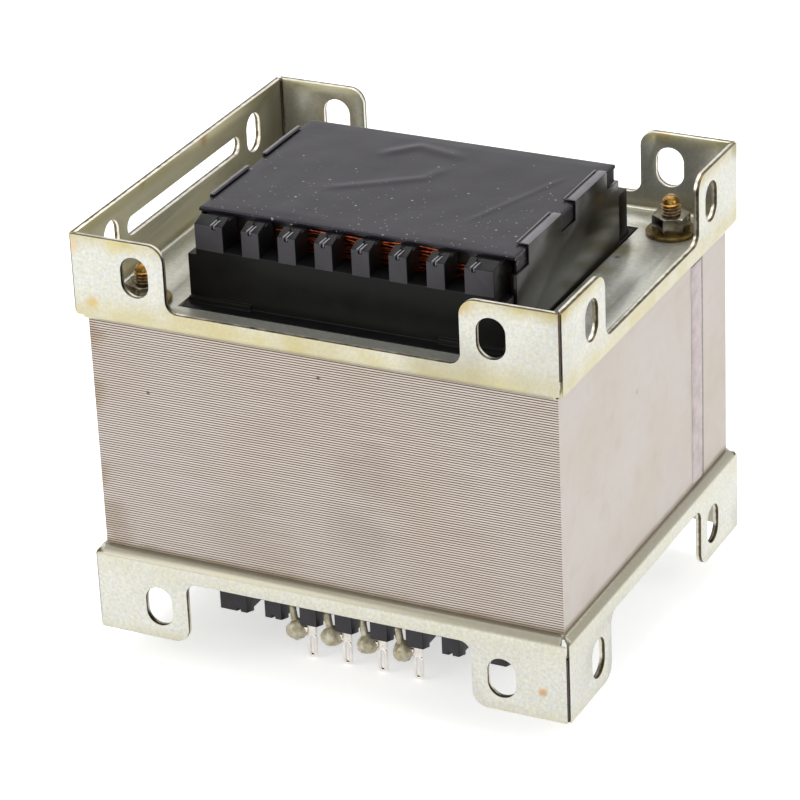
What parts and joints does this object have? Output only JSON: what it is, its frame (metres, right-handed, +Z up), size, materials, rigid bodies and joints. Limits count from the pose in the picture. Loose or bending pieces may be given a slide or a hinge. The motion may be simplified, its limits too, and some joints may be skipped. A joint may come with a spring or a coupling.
{
  "type": "chassis mount transformer",
  "caption": "Laminated-core mains transformer clamped between flanged end frames with mounting slots, a covered coil and solder tags below.",
  "frame": {"origin": "centre of the core's outline, level with the tips of the solder tags", "axes": "+Z up along the clamping bolts, +X along the long side of the core, -Y towards the side with the solder tags"},
  "size_m": [0.1244, 0.1052, 0.1138],
  "materials": {
    "zinc_plated_sheet": "satin",
    "core_steel": "satin",
    "weld_steel": "satin",
    "bolt_steel": "satin",
    "nut_steel": "satin",
    "washer_steel": "satin",
    "black_moulding": "satin",
    "black_sheet": "satin",
    "cover_film": "satin",
    "insulation": "satin",
    "copper": "satin",
    "tinned_brass": "polished",
    "solder": "satin"
  },
  "bodies": {
    "root": {"core_e_stack": "core_steel", "core_i_stack": "core_steel", "weld_bead_left": "weld_steel", "weld_bead_right": "weld_steel", "top_frame": "zinc_plated_sheet", "bottom_frame": "zinc_plated_sheet", "clamp_bolts": "bolt_steel", "bolt_sleeves": "insulation", "washers_upper": "washer_steel", "washers_lower": "washer_steel", "nuts": "nut_steel", "bobbin": "black_moulding", "primary_winding": "copper", "winding_barrier": "insulation", "secondary_winding": "copper", "coil_wrap": "black_sheet", "cover_film": "cover_film", "shroud_upper_left": "black_sheet", "shroud_upper_right": "black_sheet", "shroud_lower_left": "black_sheet", "shroud_lower_right": "black_sheet", "solder_tag_1": "tinned_brass", "lead_1": "copper", "solder_joint_1": "solder", "solder_tag_2": "tinned_brass", "lead_2": "copper", "solder_joint_2": "solder", "solder_tag_3": "tinned_brass", "lead_3": "copper", "solder_joint_3": "solder", "solder_tag_4": "tinned_brass", "lead_4": "copper", "solder_joint_4": "solder"}
  },
  "joints": []
}
